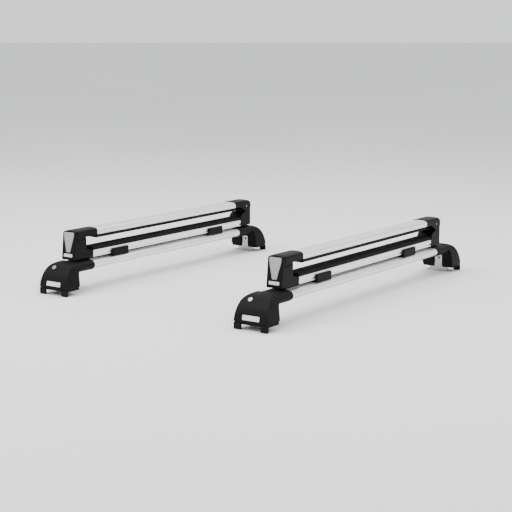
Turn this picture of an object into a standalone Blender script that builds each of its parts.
"""Roof ski rack: two wing-section load bars on four locking rail feet, and two
hinged ski clamps (aluminium arms with rubber pads) bolted into the bars' T-slots.

Frame: +X to the front of the car, +Y across it, +Z up. Origin: on the ground plane
under the middle of the rack, level with the tips of the rail claws.
Lengths in this file are millimetres and turned into metres by mm().
Outlines are lists of (a, b) points in the plane that they are extruded from.
"""

import math

import bmesh
import bpy
from mathutils import Matrix, Vector

# ---------------------------------------------------------------- dimensions (mm)
BAR_SPACING = 715.0          # front load bar to rear load bar
FRONT_HALF = 540.0           # centre plane to the outer face of a front foot
REAR_HALF = 500.0            # the roof is narrower at the back, so its bar is shorter
FOOT_NECK = 140.0            # foot outer face to the end of its neck sleeve
BAR_END = 74.0               # foot outer face to the end of the bar, inside the neck
BAR_WALL = 2.2
NECK_WALL = 2.6
GAP = 0.3                    # working gap between pieces that touch

ARM_HALF_W = 24.0            # half the width of the clamp arms
ARM_NEAR, ARM_FAR = -327.0, 356.5      # upper arm extrusion
BASE_NEAR, BASE_FAR = -346.0, 384.0    # lower arm extrusion
PAD_REST_Z, PAD_CLAMP_Z = 122.0, 146.0  # the two rubber faces that hold the skis
PIN_Y, PIN_Z, PIN_R = 421.0, 157.0, 4.0  # clamp hinge axis
LIFT_BOTTOM = 95.0
MOUNT_Y = (-232.0, 240.0)    # the two mounting blocks of each clamp
MOUNT_LEN = 72.0

FACE_BOTTOM_Y, FACE_TOP_Y = -428.5, -420.5   # leaning front of the latch tower
FACE_BOTTOM_Z, FACE_TOP_Z = 97.0, 174.0
BUTTON_TRAVEL = 4.0
LATCH_Z = 129.0

FOOT_WIDTH = 52.0            # half the width of a foot at its base
RAIL_SEAT_Z = 13.0           # flat rubber face that sits on the roof rail
SCREW_Z, SCREW_R = 40.0, 4.0
COVER_HINGE = (50.0, 85.3)   # (distance in from the outer face, height)
LOCK_AT = (33.6, 75.0)
LOCK_X = 18.0

# bar section, counter-clockwise from the trailing tip: (x, z)
BAR_OUTLINE = [
    (-40.0, 71.5), (-38.4, 68.2), (-33.5, 65.0), (-26.0, 62.2), (-16.0, 60.2), (-4.0, 59.2), (8.0, 59.0),
    (20.0, 59.4), (28.0, 60.8), (34.0, 63.6), (38.0, 67.6), (39.8, 72.4), (38.9, 77.0), (35.8, 80.8),
    (30.5, 83.3), (22.0, 85.2), (10.0, 86.3), (-10.0, 86.0), (-20.0, 84.2), (-29.0, 81.0), (-36.0, 77.0), (-39.2, 74.2),
]
SLOT = [  # T-slot along the top of the bar, from its right lip to its left lip
    (9.2, 86.35), (9.2, 84.6), (6.6, 84.6), (6.6, 81.5), (10.5, 81.5), (10.5, 74.5),
    (-10.5, 74.5), (-10.5, 81.5), (-6.6, 81.5), (-6.6, 84.6), (-9.2, 84.6), (-9.2, 86.05),
]
# the outer curve of a foot, from its lower edge to the top of its cover: (distance in, z)
FOOT_CURVE = [(8.0, 20.0), (8.8, 27.0), (10.6, 36.0), (13.8, 46.0), (18.8, 57.0), (25.8, 67.0), (34.6, 76.0), (43.0, 82.0), (50.0, 85.3)]
FOOT_TOP = [(60.0, 88.2), (68.0, 89.3), (76.0, 89.3)]
# the front view of a foot: (x, z)
FOOT_FRONT = [(52.2, 19.0), (51.7, 30.0), (50.0, 45.0), (47.6, 60.0), (45.3, 69.0), (42.0, 76.5), (36.6, 82.2), (27.4, 86.1), (14.0, 88.5), (0.0, 89.4)]

COLOURS = {
    "aluminium": ((0.78, 0.79, 0.80), 0.32, 1.0),
    "black_plastic": ((0.022, 0.022, 0.024), 0.55, 0.0),
    "dark_plastic": ((0.03, 0.03, 0.032), 0.45, 0.0),
    "rubber": ((0.015, 0.015, 0.015), 0.85, 0.0),
    "button_grey": ((0.42, 0.43, 0.44), 0.45, 0.0),
    "steel": ((0.55, 0.55, 0.55), 0.35, 1.0),
    "lock_metal": ((0.62, 0.61, 0.58), 0.28, 1.0),
}


def mm(v):
    return v * 0.001


# ---------------------------------------------------------------- scene and helpers
for old in list(bpy.data.objects):
    bpy.data.objects.remove(old, do_unlink=True)
for old in list(bpy.data.collections):
    bpy.data.collections.remove(old)

PARTS = bpy.data.collections.new("roof_ski_rack")
CUTTERS = bpy.data.collections.new("cutters")
bpy.context.scene.collection.children.link(PARTS)
bpy.context.scene.collection.children.link(CUTTERS)

MATERIALS = {}
for mat_name, (colour, rough, metal) in COLOURS.items():
    material = bpy.data.materials.new(mat_name)
    material.use_nodes = True
    shader = material.node_tree.nodes["Principled BSDF"]
    shader.inputs["Base Color"].default_value = (*colour, 1.0)
    shader.inputs["Roughness"].default_value = rough
    shader.inputs["Metallic"].default_value = metal
    MATERIALS[mat_name] = material


def new_object(name, bm, slot):
    """A mesh object from a bmesh whose points are in the rack's frame, in metres. Without a slot it is a cutter."""
    bmesh.ops.remove_doubles(bm, verts=bm.verts, dist=1e-6)
    bmesh.ops.recalc_face_normals(bm, faces=bm.faces)
    mesh = bpy.data.meshes.new(name)
    bm.to_mesh(mesh)
    bm.free()
    obj = bpy.data.objects.new(name, mesh)
    if slot:
        mesh.materials.append(MATERIALS[slot])
        PARTS.objects.link(obj)
    else:
        CUTTERS.objects.link(obj)
        obj.hide_render = True
        obj.display_type = "WIRE"
    return obj


AXES = {  # columns: where an outline's own x, y and thickness directions point
    "XZ": Matrix(((1, 0, 0), (0, 0, -1), (0, 1, 0))),
    "YZ": Matrix(((0, 0, 1), (1, 0, 0), (0, 1, 0))),
    "XY": Matrix(((1, 0, 0), (0, 1, 0), (0, 0, 1))),
}
NORMAL = {"XZ": Vector((0, 1, 0)), "YZ": Vector((1, 0, 0)), "XY": Vector((0, 0, 1))}


def extrusion(name, loops, plane, lo, hi, slot=None, shift=(0, 0, 0)):
    """A flat outline (its first loop, with any further loops as holes) in a plane, extruded between lo and hi along the plane's normal."""
    curve = bpy.data.curves.new(name + "_outline", "CURVE")
    curve.dimensions = "2D"
    curve.fill_mode = "BOTH"
    curve.extrude = mm(hi - lo) / 2
    for loop in loops:
        spline = curve.splines.new("POLY")
        spline.points.add(len(loop) - 1)
        for point, (a, b) in zip(spline.points, loop):
            point.co = (mm(a), mm(b), 0, 1)
        spline.use_cyclic_u = True
    outline = bpy.data.objects.new(name + "_outline", curve)
    bpy.context.scene.collection.objects.link(outline)
    middle = NORMAL[plane] * mm((lo + hi) / 2) + Vector([mm(s) for s in shift])
    outline.matrix_world = Matrix.Translation(middle) @ AXES[plane].to_4x4()
    bpy.context.view_layer.update()
    graph = bpy.context.evaluated_depsgraph_get()
    mesh = bpy.data.meshes.new_from_object(outline.evaluated_get(graph))
    bm = bmesh.new()
    bm.from_mesh(mesh)
    bmesh.ops.transform(bm, matrix=outline.matrix_world, verts=bm.verts)
    bpy.data.objects.remove(outline, do_unlink=True)
    bpy.data.curves.remove(curve)
    bpy.data.meshes.remove(mesh)
    return new_object(name, bm, slot)


def box(name, lo, hi, slot=None):
    bm = bmesh.new()
    bmesh.ops.create_cube(bm, size=1.0)
    size = [mm(h - l) for l, h in zip(lo, hi)]
    centre = [mm(h + l) / 2 for l, h in zip(lo, hi)]
    bmesh.ops.scale(bm, vec=size, verts=bm.verts)
    bmesh.ops.translate(bm, vec=centre, verts=bm.verts)
    return new_object(name, bm, slot)


def rod(name, start, end, radius, sides=16, slot=None, turn=0.0):
    """A cylinder, or a prism with few sides, between two points."""
    a, b = Vector([mm(v) for v in start]), Vector([mm(v) for v in end])
    bm = bmesh.new()
    bmesh.ops.create_cone(bm, cap_ends=True, segments=sides, radius1=mm(radius), radius2=mm(radius), depth=(b - a).length)
    swing = Vector((0, 0, 1)).rotation_difference((b - a).normalized()).to_matrix().to_4x4()
    bmesh.ops.transform(bm, matrix=Matrix.Translation((a + b) / 2) @ swing @ Matrix.Rotation(turn, 4, "Z"), verts=bm.verts)
    return new_object(name, bm, slot)


def boolean(obj, other, operation):
    """Cuts, joins or intersects obj with a cutter object."""
    modifier = obj.modifiers.new(operation.lower() + "_" + other.name, "BOOLEAN")
    modifier.operation = operation
    modifier.solver = "EXACT"
    modifier.object = other


def cut(obj, *others):
    for other in others:
        boolean(obj, other, "DIFFERENCE")


def join(obj, *others):
    for other in others:
        boolean(obj, other, "UNION")


def offset(outline, distance):
    """Each point of a closed outline moved out along its corner's normal; the outline runs counter-clockwise."""
    moved = []
    count = len(outline)
    for i, (x, y) in enumerate(outline):
        ax, ay = outline[i - 1]
        bx, by = outline[(i + 1) % count]
        n1, n2 = Vector((y - ay, ax - x)).normalized(), Vector((by - y, x - bx)).normalized()
        n = (n1 + n2).normalized()
        reach = distance / max(0.5, n.dot(n1))
        moved.append((x + n.x * reach, y + n.y * reach))
    return moved


def offset_open(line, distance):
    """An open line moved to its left by a distance."""
    moved = []
    for i, (x, y) in enumerate(line):
        ax, ay = line[max(i - 1, 0)]
        bx, by = line[min(i + 1, len(line) - 1)]
        n = Vector((ay - by, bx - ax)).normalized()
        moved.append((x + n.x * distance, y + n.y * distance))
    return moved


def pivot(name, point):
    """An empty on a joint's axis, which the moving pieces hang from."""
    empty = bpy.data.objects.new(name, None)
    empty.empty_display_size = 0.02
    empty.location = [mm(v) for v in point]
    PARTS.objects.link(empty)
    return empty


def hang(empty, *pieces):
    bpy.context.view_layer.update()
    for piece in pieces:
        piece.parent = empty
        piece.matrix_parent_inverse = empty.matrix_world.inverted()


def mirror_x(line):
    """The closed outline made of a right half, listed from its lowest to its highest point, and its mirror image."""
    left = [(-x, z) for x, z in reversed(line) if abs(x) > 1e-6]
    return list(line) + left


def at(x0, outline):
    return [(x0 + x, z) for x, z in outline]


# ---------------------------------------------------------------- load bars
def bar_section():
    """The bar's outline with its T-slot, and one hollow: along the bottom, up the leading edge, under the slot and back along the trailing top."""
    outline = BAR_OUTLINE[:17] + SLOT + BAR_OUTLINE[17:]
    inner = offset(BAR_OUTLINE, -BAR_WALL)
    around_slot = [(13.0, 83.6), (13.0, 72.2), (-13.0, 72.2), (-13.0, 82.9)]
    return outline, inner[:16] + around_slot + inner[18:22]


def load_bar(prefix, x0, half):
    outline, hollow = bar_section()
    length = half - BAR_END
    bar = extrusion(prefix + "_crossbar", [at(x0, outline), at(x0, hollow)], "XZ", -length, length, "aluminium")
    strip_half = half - FOOT_NECK - GAP
    section = [
        (x0 + 5.4, 81.9), (x0 + 5.4, 85.1), (x0 + 8.9, 84.9), (x0 + 8.9, 87.2), (x0 + 7.6, 88.2), (x0 + 3.4, 88.2), (x0 + 3.0, 87.4), (x0 + 0.8, 87.4), (x0 + 0.4, 88.2),
        (x0 - 0.4, 88.2), (x0 - 0.8, 87.4), (x0 - 3.0, 87.4), (x0 - 3.4, 88.2), (x0 - 7.6, 88.2), (x0 - 8.9, 87.2), (x0 - 8.9, 84.9), (x0 - 5.4, 85.1), (x0 - 5.4, 81.9),
    ]
    strip = extrusion(prefix + "_bar_strip", [section], "XZ", -strip_half, strip_half, "rubber")
    for i, y in enumerate(MOUNT_Y):
        cut(strip, rod(f"{prefix}_strip_hole_{i}", (x0, y, 70), (x0, y, 95), 3.7, 12))
    return bar, strip


# ---------------------------------------------------------------- rail feet
def foot(prefix, x0, half, side):
    """One rail foot. side is -1 at the near end of a bar and +1 at the far end; d runs inwards from the foot's outer face."""
    def y(d):
        return side * (half - d)

    def yz(points):
        return [(y(d), z) for d, z in points]

    def span(d0, d1):
        return sorted((y(d0), y(d1)))

    front = mirror_x([(FOOT_FRONT[0][0], 12.0)] + FOOT_FRONT)
    front = at(x0, front)
    lock_x = x0 + side * LOCK_X

    # casting that carries the bar: side profile, narrowed by the front view, with the neck sleeve joined on
    inner_curve = offset_open(FOOT_CURVE, -3.4)
    profile = [(12.0, 22.4)] + [p for p in inner_curve if p[1] > 24] + [(50.7, 85.7)] + FOOT_TOP + [(76.0, 74.0), (71.0, 70.0), (66.5, 64.0), (64.0, 55.0), (63.0, 22.4)]
    body = extrusion(prefix + "_foot_body", [yz(profile)], "YZ", x0 - 58, x0 + 58, "black_plastic")
    boolean(body, extrusion(prefix + "_front_view", [front], "XZ", *span(-6, 90)), "INTERSECT")
    sleeve = at(x0, offset(BAR_OUTLINE, NECK_WALL))
    join(body, extrusion(prefix + "_neck", [sleeve], "XZ", *span(62, FOOT_NECK)))
    seat = at(x0, offset(BAR_OUTLINE, GAP))
    cut(
        body,
        extrusion(prefix + "_bar_seat", [seat], "XZ", *span(BAR_END - GAP, FOOT_NECK + 10)),
        box(prefix + "_outer_pocket", (x0 - 36, span(-10, 26.2)[0], 10), (x0 + 36, span(-10, 26.2)[1], 60)),
        box(prefix + "_inner_pocket", (x0 - 36, span(32, 57)[0], 11), (x0 + 36, span(32, 57)[1], 56)),
        box(prefix + "_claw_window", (x0 - 15.6, span(50, 80)[0], 9), (x0 + 15.6, span(50, 80)[1], 53)),
        rod(prefix + "_screw_hole", (x0, y(20), SCREW_Z), (x0, y(45), SCREW_Z), 4.5, 12),
        box(prefix + "_lock_pocket", (lock_x - 10, span(-11, 49)[0], 52), (lock_x + 10, span(-11, 49)[1], 95)),
    )

    # outer cover: a curved panel that follows the foot's outer curve, hinged along its top edge
    shell = FOOT_CURVE + list(reversed(offset_open(FOOT_CURVE, -3.0)))
    cover = extrusion(prefix + "_foot_cover", [yz(shell)], "YZ", x0 - 58, x0 + 58, "black_plastic")
    boolean(cover, extrusion(prefix + "_cover_view", [front], "XZ", *span(-6, 91)), "INTERSECT")
    d0, z0 = LOCK_AT
    out = Vector((0, side, 1)).normalized()
    middle = Vector((lock_x, y(d0), z0))
    cut(cover, rod(prefix + "_lock_hole", middle - out * 20, middle + out * 20, 7.0, 16))
    lock = rod(prefix + "_foot_lock", middle - out * 11, middle + out * 0.8, 6.5, 16, "lock_metal")
    cut(lock, box(prefix + "_key_slot_block", (-1, -1, -1), (1, 1, 1)))
    slot_cutter = bpy.data.objects[prefix + "_key_slot_block"]
    slot_cutter.matrix_world = Matrix.Translation((middle + out * 0.8) * 0.001) @ Vector((0, 0, 1)).rotation_difference(out).to_matrix().to_4x4() @ Matrix.Diagonal((0.9, 3.6, 2.2, 1))

    # rail shoe: rubber-faced plate with two outer prongs, notched for the moving claw
    w = FOOT_WIDTH - 0.6
    plate = [(x0 - w, 12.4), (x0 + w, 12.4), (x0 + w, 62), (x0 + 15.4, 62), (x0 + 15.4, 45.6), (x0 - 15.4, 45.6), (x0 - 15.4, 62), (x0 - w, 62)]
    shoe = extrusion(prefix + "_rail_shoe", [[(a, y(d)) for a, d in plate]], "XY", 14, 22, "rubber")
    join(
        shoe,
        box(prefix + "_shoe_lip", (x0 - w, span(8.8, 16)[0], 14.2), (x0 + w, span(8.8, 16)[1], 18.8)),
        box(prefix + "_seat_pad", (x0 - 49, span(14.8, 45.2)[0], RAIL_SEAT_Z), (x0 + 49, span(14.8, 45.2)[1], 18)),
    )
    for s in (-1, 1):
        prong = yz([(14.2, 18.0), (14.2, 2.4), (12.0, 0.0), (8.8, 0.0), (7.0, 2.4), (7.0, 18.0)])
        xs = sorted((x0 + s * (FOOT_WIDTH - 21.5), x0 + s * FOOT_WIDTH))
        join(shoe, extrusion(f"{prefix}_prong_{'ab'[s > 0]}", [prong], "YZ", *xs))

    # inner claw on a clamping screw
    claw = box(prefix + "_claw", (x0 - 28, span(46.4, 56)[0], 0), (x0 + 28, span(46.4, 56)[1], 13.5), "steel")
    join(claw, box(prefix + "_claw_stem", (x0 - 14.6, span(47.5, 56)[0], 8), (x0 + 14.6, span(47.5, 56)[1], 50)))
    cut(claw, rod(prefix + "_claw_thread", (x0, y(40), SCREW_Z), (x0, y(66), SCREW_Z), SCREW_R + 0.4, 12))
    screw = rod(prefix + "_clamp_screw", (x0, y(25.8), SCREW_Z), (x0, y(61), SCREW_Z), SCREW_R, 12, "steel")
    join(screw, rod(prefix + "_screw_head", (x0, y(19.4), SCREW_Z), (x0, y(25.9), SCREW_Z), 7.2, 6))
    cut(screw, rod(prefix + "_screw_socket", (x0, y(13), SCREW_Z), (x0, y(23.4), SCREW_Z), 3.4, 6))

    hinge = pivot(prefix + "_cover_hinge", (x0, y(COVER_HINGE[0]), COVER_HINGE[1]))
    hang(hinge, cover)
    turn = pivot(prefix + "_lock_turn", middle)
    hang(turn, lock)
    hang(hinge, turn)
    hang(pivot(prefix + "_claw_travel", (x0, y(51), SCREW_Z)), claw)
    hang(pivot(prefix + "_screw_turn", (x0, y(20), SCREW_Z)), screw)


# ---------------------------------------------------------------- ski clamps
LOWER_SECTION = mirror_x([
    (22.6, 92.0), (24.0, 93.4), (24.0, 96.2), (21.2, 96.8), (21.2, 101.0), (24.0, 101.6), (24.0, 110.6), (22.6, 112.0),
    (17.6, 112.0), (17.6, 110.3), (20.4, 110.3), (20.4, 107.3),
])
LOWER_HOLLOW = [(-19.0, 94.2), (19.0, 94.2), (19.0, 105.2), (-19.0, 105.2)]
LOWER_PAD = mirror_x([
    (20.0, 107.6), (20.0, 110.0), (17.2, 110.0), (17.2, 112.3), (22.4, 112.3), (22.4, 118.2), (19.6, 122.0), (8.0, 122.0), (7.4, 119.4), (5.0, 119.4), (4.4, 122.0),
])
UPPER_SECTION = mirror_x([
    (20.4, 160.8), (20.4, 157.8), (17.6, 157.8), (17.6, 156.0), (22.8, 156.0), (24.0, 157.2), (24.0, 168.4), (22.9, 171.0), (20.6, 172.7), (14.0, 174.2), (7.0, 174.8), (0.0, 175.0),
])
UPPER_HOLLOW = mirror_x([(21.6, 163.0), (21.6, 168.0), (20.0, 170.2), (13.0, 171.9), (0.0, 172.7)])
UPPER_PAD = mirror_x([
    (4.4, 146.0), (5.0, 148.6), (7.4, 148.6), (8.0, 146.0), (19.6, 146.0), (22.4, 149.8), (22.4, 155.7), (17.2, 155.7), (17.2, 158.1), (20.0, 158.1), (20.0, 160.5),
])
CAP_FRONT = mirror_x([(24.6, 100.0), (24.6, 168.6), (23.4, 172.2), (20.4, 174.6), (13.0, 176.4), (0.0, 177.2)])


def face_y(z):
    """The latch tower's leaning front face."""
    return FACE_BOTTOM_Y + (z - FACE_BOTTOM_Z) * (FACE_TOP_Y - FACE_BOTTOM_Y) / (FACE_TOP_Z - FACE_BOTTOM_Z)


def clamp(prefix, x0):
    # lower arm and its rubber pad
    lower = extrusion(prefix + "_lower_arm", [at(x0, LOWER_SECTION), at(x0, LOWER_HOLLOW)], "XZ", BASE_NEAR, BASE_FAR, "aluminium")
    for i, y in enumerate(MOUNT_Y):
        cut(lower, rod(f"{prefix}_arm_hole_{i}", (x0, y, 90), (x0, y, 98), 3.6, 12))
    extrusion(prefix + "_lower_pad", [at(x0, LOWER_PAD)], "XZ", BASE_NEAR + 0.5, BASE_FAR - 0.5, "rubber")

    # latch tower at the near end, with a plug into the lower arm, the button's opening and the tongue's slot
    tower_side = [
        (-427.0, 93.4), (-424.0, 92.5), (-346.3, 92.5), (-346.3, 112.4), (-352.0, 114.6), (-368.0, 115.6), (-374.0, 119.0), (-374.0, 154.2),
        (-411.7, 145.6), (-411.7, 175.4), (-413.2, 176.8), (-418.6, 176.8), (face_y(174.0), 174.4), (face_y(97.0), 97.0),
    ]
    tower = extrusion(prefix + "_latch_tower", [tower_side], "YZ", x0 - 24.6, x0 + 24.6, "dark_plastic")
    boolean(tower, extrusion(prefix + "_tower_view", [at(x0, mirror_x([
        (0.0, 90.0), (20.5, 90.0), (24.4, 94.5), (24.4, 168.6), (23.4, 172.2), (20.4, 174.8), (13.0, 176.4), (0.0, 177.0)]))], "XZ", -440, -340), "INTERSECT")
    join(tower, box(prefix + "_tower_plug", (x0 - 18.6, -352, 94.6), (x0 + 18.6, -316, 104.8)))
    window = [(x0 - 7.4, 114.6), (x0 + 7.4, 114.6), (x0 + 18.8, 160.0), (x0 + 18.8, 170.5), (x0 + 17.0, 172.3), (x0 - 17.0, 172.3), (x0 - 18.8, 170.5), (x0 - 18.8, 160.0)]
    cut(
        tower,
        extrusion(prefix + "_button_window", [window], "XZ", -436, -410.8),
        box(prefix + "_yoke_room", (x0 - 14.4, -424, LATCH_Z - 3.6), (x0 + 14.4, -420, LATCH_Z + 3.6)),
        box(prefix + "_latch_room", (x0 - 17, -421, 121), (x0 + 17, -379, 137)),
        box(prefix + "_tongue_slot", (x0 - 9.8, -403.4, 112), (x0 + 9.8, -394.6, 160)),
        rod(prefix + "_key_hole", (x0 - 30, -389, LATCH_Z), (x0 - 16, -389, LATCH_Z), 5.9, 16),
    )

    # release button: a leaning tapered face on two bars that end in the latch nose
    face = [(x0 - 7.0, 115.0), (x0 + 7.0, 115.0), (x0 + 18.4, 160.2), (x0 + 18.4, 170.3), (x0 + 16.8, 171.9), (x0 - 16.8, 171.9), (x0 - 18.4, 170.3), (x0 - 18.4, 160.2)]
    button = extrusion(prefix + "_release_button", [face], "XZ", -440, -405, "button_grey")
    lean = [(face_y(90) - 1.2, 90), (face_y(90) + 3.0, 90), (face_y(180) + 3.0, 180), (face_y(180) - 1.2, 180)]
    boolean(button, extrusion(prefix + "_button_lean", [lean], "YZ", x0 - 30, x0 + 30), "INTERSECT")
    join(button, box(prefix + "_yoke", (x0 - 14, -423.5, LATCH_Z - 3), (x0 + 14, -419.5, LATCH_Z + 3)))
    for s in (-1, 1):
        xs = sorted((x0 + s * 10.6, x0 + s * 14.0))
        join(button, box(f"{prefix}_plunger_{'ab'[s > 0]}", (xs[0], -421, LATCH_Z - 2.8), (xs[1], -387, LATCH_Z + 2.8)))
    nose = [(-394.1, LATCH_Z - 1.0), (-392.0, LATCH_Z - 3.0), (-386.0, LATCH_Z - 3.0), (-386.0, LATCH_Z + 3.0), (-392.0, LATCH_Z + 3.0), (-394.1, LATCH_Z + 1.0)]
    join(button, extrusion(prefix + "_latch_nose", [nose], "YZ", x0 - 13.5, x0 + 13.5))

    # key lock in the tower's rear-facing side, with a cam beside the plunger
    lock = rod(prefix + "_key_lock", (x0 - 25.2, -389, LATCH_Z), (x0 - 15.6, -389, LATCH_Z), 5.5, 16, "lock_metal")
    join(lock, box(prefix + "_lock_cam", (x0 - 16.4, -391.5, LATCH_Z - 2.5), (x0 - 14.6, -386.5, LATCH_Z + 6.8)))
    cut(lock, box(prefix + "_key_way", (x0 - 27, -389.6, LATCH_Z - 3.4), (x0 - 23, -388.4, LATCH_Z + 3.4)))

    # post at the far end, hollow for the sliding hinge block, with a plug into the lower arm; its back rises round the ears of the hinge cap
    cradle = [(PIN_Y + 21 * math.cos(a), PIN_Z + 21 * math.sin(a)) for a in [math.radians(v) for v in (-31.6, -46, -61, -76, -90)]]
    post_side = [(384.3, 92.5), (442.0, 92.5), (442.0, 144.6), (440.6, cradle[0][1])] + cradle + [(402.0, 136.0), (394.0, 131.6), (386.5, 122.0), (384.3, 114.4)]
    post = extrusion(prefix + "_hinge_post", [post_side], "YZ", x0 - 24.6, x0 + 24.6, "dark_plastic")
    join(post, box(prefix + "_post_plug", (x0 - 18.6, 354, 94.6), (x0 + 18.6, 388, 104.8)))
    cut(post, box(prefix + "_lift_channel", (x0 - 12.4, 409.6, LIFT_BOTTOM - 0.4), (x0 + 12.4, 432.4, 150)))

    # hinge block that rises in the post, with the hinge pin in its head
    block_side = [(410, LIFT_BOTTOM), (432, LIFT_BOTTOM)] + [(PIN_Y + 11 * math.cos(a), PIN_Z + 11 * math.sin(a)) for a in [math.pi * i / 8 for i in range(9)]]
    block = extrusion(prefix + "_lift_block", [block_side], "YZ", x0 - 12, x0 + 12, "dark_plastic")
    cut(block, rod(prefix + "_block_bore", (x0 - 20, PIN_Y, PIN_Z), (x0 + 20, PIN_Y, PIN_Z), PIN_R + GAP, 16))
    pin = rod(prefix + "_hinge_pin", (x0 - 23.4, PIN_Y, PIN_Z), (x0 + 23.4, PIN_Y, PIN_Z), PIN_R, 16, "steel")

    # upper arm and its rubber pad
    upper = extrusion(prefix + "_upper_arm", [at(x0, UPPER_SECTION), at(x0, UPPER_HOLLOW)], "XZ", ARM_NEAR, ARM_FAR, "aluminium")
    upper_pad = extrusion(prefix + "_upper_pad", [at(x0, UPPER_PAD)], "XZ", ARM_NEAR + 0.5, ARM_FAR - 0.5, "rubber")

    # handle cap on the near end of the upper arm, with a toothed tongue that drops into the tower
    cap_side = [(-411.0, 146.4), (-374.0, 154.8), (-366.0, 155.9), (-327.3, 155.9), (-327.3, 178.0), (-396.0, 178.0), (-405.0, 176.6), (-411.0, 172.0)]
    cap = extrusion(prefix + "_handle_cap", [cap_side], "YZ", x0 - 25, x0 + 25, "dark_plastic")
    boolean(cap, extrusion(prefix + "_cap_view", [at(x0, CAP_FRONT)], "XZ", -420, -300), "INTERSECT")
    join(cap, box(prefix + "_cap_plug", (x0 - 19.4, -334, 163.4), (x0 + 19.4, -298, 170.0)))
    teeth = [(-402.0, 152.0), (-402.0, 116.4), (-398.0, 116.4)]
    for i in range(6):
        z = 118.0 + 4.6 * i
        teeth += [(-398.0, z), (-395.4, z + 2.7), (-398.0, z + 3.6)]
    teeth += [(-398.0, 152.0)]
    join(cap, extrusion(prefix + "_tongue", [teeth], "YZ", x0 - 9, x0 + 9))

    # hinge cap on the far end of the upper arm: two ears round the pin and a roof over the hinge block
    rim = [(PIN_Y + 20.5 * math.sin(a), PIN_Z + 20.5 * math.cos(a)) for a in [math.radians(15 * i) for i in range(7)]]
    heel = [(PIN_Y + 20.5 * math.sin(a), PIN_Z + 20.5 * math.cos(a)) for a in [math.radians(105 + 15 * i) for i in range(8)]]
    hinge_side = [(356.8, 155.9), (356.8, 178.0), (PIN_Y - 8, 178.0)] + rim + heel + [(398.0, 150.0), (384.0, 155.9)]
    hinge_cap = extrusion(prefix + "_hinge_cap", [hinge_side], "YZ", x0 - 25, x0 + 25, "dark_plastic")
    boolean(hinge_cap, extrusion(prefix + "_hinge_view", [at(x0, CAP_FRONT)], "XZ", 340, 460), "INTERSECT")
    join(hinge_cap, box(prefix + "_hinge_plug", (x0 - 19.4, 327, 163.4), (x0 + 19.4, 362, 170.0)))
    room = [(PIN_Y + 13.4 * math.cos(a), PIN_Z + 13.4 * math.sin(a)) for a in [math.radians(55 + 15 * i) for i in range(9)]]
    room += [(PIN_Y - 13.4, 130.0), (450.0, 130.0), (450.0, room[0][1])]
    cut(
        hinge_cap,
        extrusion(prefix + "_block_room", [room], "YZ", x0 - 12.5, x0 + 12.5),
        rod(prefix + "_ear_bore", (x0 - 30, PIN_Y, PIN_Z), (x0 + 30, PIN_Y, PIN_Z), PIN_R + GAP, 16),
    )

    # mounting blocks that clasp the lower arm on top of the bar, each held by a T-bolt from the bar's slot
    top_edge = [p for p in offset(BAR_OUTLINE, GAP)]
    over_bar = [p for p in top_edge[13:20]]            # leading top to trailing top
    for label, y in zip(("near", "far"), MOUNT_Y):
        right = [p for p in over_bar if 10 < p[0] < 31]
        left = [p for p in over_bar if -31 < p[0] < -10]
        under = [(30.6, 83.6)] + right + [(9.4, 86.7), (9.4, 88.6), (-9.4, 88.6), (-9.4, 86.4)] + left + [(-30.6, 80.6)]
        block_front = under + [
            (-30.6, 105.2), (-29.6, 106.2), (-24.4, 106.2), (-24.4, 101.2), (-21.9, 100.4), (-21.9, 97.4), (-24.4, 96.6), (-24.4, 91.7),
            (24.4, 91.7), (24.4, 96.6), (21.9, 97.4), (21.9, 100.4), (24.4, 101.2), (24.4, 106.2), (29.6, 106.2), (30.6, 105.2)]
        mount = extrusion(f"{prefix}_mount_block_{label}", [at(x0, block_front)], "XZ", y - MOUNT_LEN / 2, y + MOUNT_LEN / 2, "black_plastic")
        cut(mount, rod(f"{prefix}_mount_hole_{label}", (x0, y, 80), (x0, y, 95), 3.6, 12))
        bolt = rod(f"{prefix}_t_bolt_{label}", (x0, y, 78), (x0, y, 102), 3.0, 12, "steel")
        join(
            bolt,
            box(f"{prefix}_t_head_{label}", (x0 - 9.6, y - 4.5, 75.4), (x0 + 9.6, y + 4.5, 80.6)),
            rod(f"{prefix}_nut_{label}", (x0, y, 94.6), (x0, y, 99.6), 5.8, 6),
        )

    # joints: the block rises, the arm turns on the pin, the button slides, the lock turns
    lift = pivot(prefix + "_lift_travel", (x0, PIN_Y, LIFT_BOTTOM))
    hang(lift, block, pin)
    swing = pivot(prefix + "_arm_swing", (x0, PIN_Y, PIN_Z))
    hang(swing, upper, upper_pad, cap, hinge_cap)
    hang(lift, swing)
    hang(pivot(prefix + "_button_travel", (x0, -424, LATCH_Z)), button)
    hang(pivot(prefix + "_key_turn", (x0 - 25.2, -389, LATCH_Z)), lock)


for bar_name, bar_x, bar_half in (("front", BAR_SPACING / 2, FRONT_HALF), ("rear", -BAR_SPACING / 2, REAR_HALF)):
    load_bar(bar_name, bar_x, bar_half)
    for end_name, end_side in (("near", -1), ("far", 1)):
        foot(f"{bar_name}_{end_name}", bar_x, bar_half, end_side)
    clamp(bar_name, bar_x)
bpy.context.view_layer.update()
